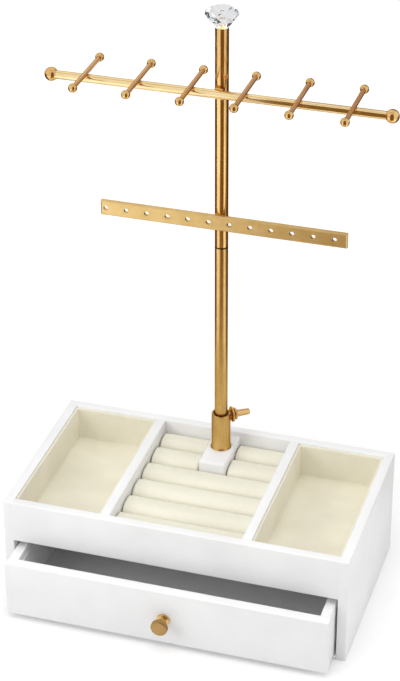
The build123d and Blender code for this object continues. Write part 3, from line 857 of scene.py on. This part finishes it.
def brilliant(name, node):
    # Rings of 8 or 16 corners, each turned half a step from the next, so that every facet is flat:
    # table, star points, girdle above and below, lower break, foot, bore.
    low, high = nodeBox(node)
    eighth = np.pi / 8
    top, girdleHigh, footZ = high[2], high[2] - crystal["crown"], low[2]
    girdleLow = girdleHigh - crystal["band"]
    across = math.cos(eighth)
    crownRun = crystal["girdle"] - crystal["table"]
    starDrop = (across * crystal["star"] - crystal["table"]) / crownRun
    lowerRun = crystal["girdle"] - across * crystal["foot"]
    breakDrop = (crystal["girdle"] - across * crystal["lowerBreak"]) / lowerRun
    rings = [
        polygon(crystal["table"], top),
        polygon(crystal["star"], top - crystal["crown"] * starDrop, turn=eighth),
        polygon(crystal["girdle"], girdleHigh, 16),
        polygon(crystal["girdle"], girdleLow, 16),
        polygon(crystal["lowerBreak"], girdleLow - (girdleLow - footZ) * breakDrop, turn=eighth),
        polygon(crystal["foot"], footZ, turn=eighth),
        polygon(crystal["bore"], footZ, 16, turn=eighth),
        polygon(crystal["bore"], footZ + crystal["boreDepth"], 16, turn=eighth),
    ]
    start = np.cumsum([0] + [len(ring) for ring in rings])
    table, star, upper, lower, under, foot, boreLow, boreTop = start[:8]
    k = np.arange(8)
    n, before = (k + 1) % 8, (k - 1) % 8
    even, odd, nextEven = 2 * k, 2 * k + 1, 2 * n
    j = np.arange(16)
    m = (j + 1) % 16
    faces = [
        [k + table],
        np.stack([table + k, star + k, table + n], axis=-1),
        np.stack([table + k, star + before, upper + even, star + k], axis=-1),
        np.stack([star + k, upper + even, upper + odd], axis=-1),
        np.stack([star + k, upper + odd, upper + nextEven], axis=-1),
        np.stack([upper + j, lower + j, lower + m, upper + m], axis=-1),
        np.stack([lower + even, under + k, lower + odd], axis=-1),
        np.stack([lower + odd, under + k, lower + nextEven], axis=-1),
        np.stack([lower + even, under + before, foot + before, foot + k, under + k], axis=-1),
        # the foot is a flat ring between the eight-sided edge and the round bore
        np.stack([foot + k, boreLow + even, boreLow + odd], axis=-1),
        np.stack([foot + k, boreLow + odd, foot + n], axis=-1),
        np.stack([foot + n, boreLow + odd, boreLow + nextEven], axis=-1),
        np.stack([boreLow + j, boreTop + j, boreTop + m, boreLow + m], axis=-1),
        [j + boreTop],
    ]
    mesh = bpy.data.meshes.new(name)
    corners = (np.concatenate(rings) * mm).tolist()
    mesh.from_pydata(corners, [], [row for group in faces for row in np.array(group).tolist()])
    shell = bmesh.new()
    shell.from_mesh(mesh)
    bmesh.ops.recalc_face_normals(shell, faces=shell.faces)
    if shell.calc_volume(signed=True) < 0:
        bmesh.ops.reverse_faces(shell, faces=shell.faces)
    shell.to_mesh(mesh)
    shell.free()
    piece = bpy.data.objects.new(name, mesh)
    scene.collection.objects.link(piece)
    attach(piece, "mast")
    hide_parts(node)
    return dress(piece, acrylic)


brilliant("cut_crystal_knob", "crystal_knob")
print("clear knob made")


stay = {  # nodes whose own shape is shown
    "earring_strip": brushedBrass,
    "bar_saddle": brassUp,
    "strip_saddle": brassUp,
    "guide_bush": nylon,
    "clamp_pad": nylon,
    "joint_stud": zinc,
    "joint_socket": zinc,
    "knob_stud": brassUp,
    "socket_plug": zinc,
    "socket_screw": zinc,
    "drawer_knob_screw": zinc,
    "roll_backing_card": backingBoard,
    "tray_floor_board": whitePaint,
}
for name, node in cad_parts.items():
    if not node.hide_render:
        node.data.materials.clear()
        node.data.materials.append(stay.get(name, whitePaint))
print("nodes kept:", sorted(name for name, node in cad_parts.items() if not node.hide_render))


stageLook = {
    "floor": 0.80,
    "halfFloor": 6.0,
    "drop": 0.0004,  # the floor lies this far under the feet
    "liftNear": 0.20, "liftFar": 0.46,  # the floor's glow at these distances from the origin
    "near": 0.22, "far": 0.95,
    "world": 0.56, "seenWorld": 0.95,
}
floorMesh = bpy.data.meshes.new("floor")
h = stageLook["halfFloor"]
floorMesh.from_pydata([(-h, -h, 0), (h, -h, 0), (h, h, 0), (-h, h, 0)], [], [(0, 1, 2, 3)])
floor = bpy.data.objects.new("floor", floorMesh)
floor.location.z = -stageLook["drop"]
scene.collection.objects.link(floor)


def seenRays(tree):
    # 1 for the rays that show the background: from the camera, in metal and through glass
    path = tree.nodes.new("ShaderNodeLightPath")
    total = path.outputs["Is Camera Ray"]
    for output in ("Is Glossy Ray", "Is Transmission Ray"):
        node = tree.nodes.new("ShaderNodeMath")
        node.operation = "MAXIMUM"
        tree.links.new(total, node.inputs[0])
        tree.links.new(path.outputs[output], node.inputs[1])
        total = node.outputs["Value"]
    return total


floorMaterial = bpy.data.materials.new("white_floor")
floorMaterial.use_nodes = True
tree = floorMaterial.node_tree
tree.nodes.clear()
output = tree.nodes.new("ShaderNodeOutputMaterial")
diffuse = tree.nodes.new("ShaderNodeBsdfDiffuse")
diffuse.inputs["Color"].default_value = (stageLook["floor"],) * 3 + (1,)
glow = tree.nodes.new("ShaderNodeEmission")
reach = tree.nodes.new("ShaderNodeVectorMath")
reach.operation = "LENGTH"
tree.links.new(tree.nodes.new("ShaderNodeTexCoord").outputs["Object"], reach.inputs[0])
lift = tree.nodes.new("ShaderNodeMapRange")  # the lamps fall off, so the glow grows with distance
for socketIn, key in zip(lift.inputs[1:5], ("near", "far", "liftNear", "liftFar")):
    socketIn.default_value = stageLook[key]
tree.links.new(reach.outputs["Value"], lift.inputs["Value"])
scaled = tree.nodes.new("ShaderNodeMath")
scaled.operation = "MULTIPLY"
tree.links.new(lift.outputs["Result"], scaled.inputs[1])
tree.links.new(seenRays(tree), scaled.inputs[0])
tree.links.new(scaled.outputs["Value"], glow.inputs["Strength"])
both = tree.nodes.new("ShaderNodeAddShader")
tree.links.new(diffuse.outputs["BSDF"], both.inputs[0])
tree.links.new(glow.outputs["Emission"], both.inputs[1])
tree.links.new(both.outputs["Shader"], output.inputs["Surface"])
floorMesh.materials.append(floorMaterial)

world = bpy.data.worlds.new("studio")
scene.world = world
world.use_nodes = True
tree = world.node_tree
background = tree.nodes["Background"]
strength = tree.nodes.new("ShaderNodeMapRange")
strength.inputs["To Min"].default_value = stageLook["world"]
strength.inputs["To Max"].default_value = stageLook["seenWorld"]
tree.links.new(seenRays(tree), strength.inputs["Value"])
background.inputs["Color"].default_value = (1, 1, 1, 1)
tree.links.new(strength.outputs["Result"], background.inputs["Strength"])

lamps = {
    "key": {"place": (-0.7, -0.8, 0.65), "size": 0.7, "power": 4.7, "aim": (0, 0, 0.1)},
    "overhead": {"place": (0.1, -0.1, 1.6), "size": 1.2, "power": 11.4, "aim": (0, 0, 0.1)},
    "side": {"place": (0.72, -0.2, 0.3), "size": 0.3, "power": 0.8, "aim": (0.145, -0.05, 0.06)},
}
for name, lamp in lamps.items():
    light = bpy.data.lights.new(name, "AREA")
    light.size = lamp["size"]
    light.energy = lamp["power"]
    holder = bpy.data.objects.new(name, light)
    holder.location = lamp["place"]
    holder.rotation_mode = "QUATERNION"
    beam = Vector(lamp["aim"]) - Vector(lamp["place"])
    holder.rotation_quaternion = beam.to_track_quat("-Z", "Y")
    holder.visible_glossy = False
    scene.collection.objects.link(holder)

# Cards stand round the mast and lie about it, as in a metal shoot. Only the metal sees them, or
# only the clear knob. A standing card's arc is in degrees from the camera's side, positive to the
# right, and a level card's spread is x from and to, y from and to, and its height.
levelCards = {
    "low_card": {"spread": (-0.18, 0.12, -0.62, -0.22, 0.002), "color": (0.60, 0.45, 0.25)},
    "low_right_card": {"spread": (0.18, 0.9, 0.17, 0.6, 0.002), "color": (0.26, 0.19, 0.12)},
    "upper_card": {"spread": (-0.25, 0.25, -0.015, 0.04, 0.62), "color": (0.58, 0.50, 0.38)},
}
standingCards = {
    "front_card": {"arc": (-26, 34, 0.36), "rise": (0, 0.85), "color": (0.22, 0.12, 0.03)},
    "right_back_card": {"arc": (84, 148, 0.33), "rise": (0, 0.40), "color": (0.10, 0.055, 0.02)},
    "left_back_card": {"arc": (212, 272, 0.33), "rise": (0, 0.40), "color": (0.10, 0.055, 0.02)},
    "right_card": {"arc": (66, 84, 0.33), "rise": (0.08, 0.40), "color": (0.60, 0.52, 0.42)},
    "tall_card": {"arc": (112, 168, 0.35), "rise": (0.40, 0.9), "color": (0.55, 0.48, 0.52)},
}
knobLevelCards = {
    "under_knob_card": {"spread": (-0.5, 0.5, -0.45, 0.55, 0.25), "color": (0.76, 0.77, 0.78)},
}
knobStandingCards = {
    "knob_grey_card": {"arc": (-180, 180, 0.9), "rise": (0.3, 1.6), "color": (0.80, 0.81, 0.82)},
    "knob_left_card": {"arc": (-75, -52, 0.5), "rise": (0.3, 1.1), "color": (0.02, 0.02, 0.02)},
    "knob_right_card": {"arc": (40, 58, 0.5), "rise": (0.3, 1.1), "color": (0.05, 0.05, 0.05)},
    "knob_back_card": {"arc": (160, 178, 0.5), "rise": (0.3, 0.8), "color": (0.03, 0.03, 0.03)},
}
arcSteps = 24


def glowingCard(name, points, faces, color, unseenBy):
    mesh = bpy.data.meshes.new(name)
    mesh.from_pydata(np.asarray(points).tolist(), [], np.asarray(faces).tolist())
    material = bpy.data.materials.new(name)
    material.use_nodes = True
    shader = material.node_tree.nodes["Principled BSDF"]
    shader.inputs["Base Color"].default_value = (0, 0, 0, 1)
    shader.inputs["Specular IOR Level"].default_value = 0
    shader.inputs["Emission Color"].default_value = (*color, 1)
    shader.inputs["Emission Strength"].default_value = 1
    mesh.materials.append(material)
    piece = bpy.data.objects.new(name, mesh)
    scene.collection.objects.link(piece)
    for ray in ("camera", "diffuse", "shadow", unseenBy):
        setattr(piece, "visible_" + ray, False)


def levelCard(name, look, unseenBy):
    left, right, front, back, height = look["spread"]
    corners = [(left, front), (right, front), (right, back), (left, back)]
    points = [(x, y, height) for x, y in corners]
    glowingCard(name, points, [(0, 1, 2, 3)], look["color"], unseenBy)


def standingCard(name, look, unseenBy):
    # part of an upright cylinder round the mast: mast + radius * (toCamera cos a + sideways sin a)
    start, end, radius = look["arc"]
    toCamera = Vector((-forward.x, -forward.y, 0)).normalized()
    a = np.radians(np.linspace(start, end, arcSteps + 1))[:, None]
    edge = radius * (np.cos(a) * np.array(toCamera[:2]) + np.sin(a) * np.array(sideways[:2]))
    edge = edge + np.array([0, mast["y"] * mm])
    points = np.concatenate([np.c_[edge, np.full(arcSteps + 1, z)] for z in look["rise"]])
    k = np.arange(arcSteps)
    faces = np.stack([k, k + 1, k + arcSteps + 2, k + arcSteps + 1], axis=-1)
    glowingCard(name, points, faces, look["color"], unseenBy)


for makeCard, cards, unseenBy in (
    (levelCard, levelCards, "transmission"),
    (levelCard, knobLevelCards, "glossy"),
    (standingCard, standingCards, "transmission"),
    (standingCard, knobStandingCards, "glossy"),
):
    for name, look in cards.items():
        makeCard(name, look, unseenBy)
print("stage made")
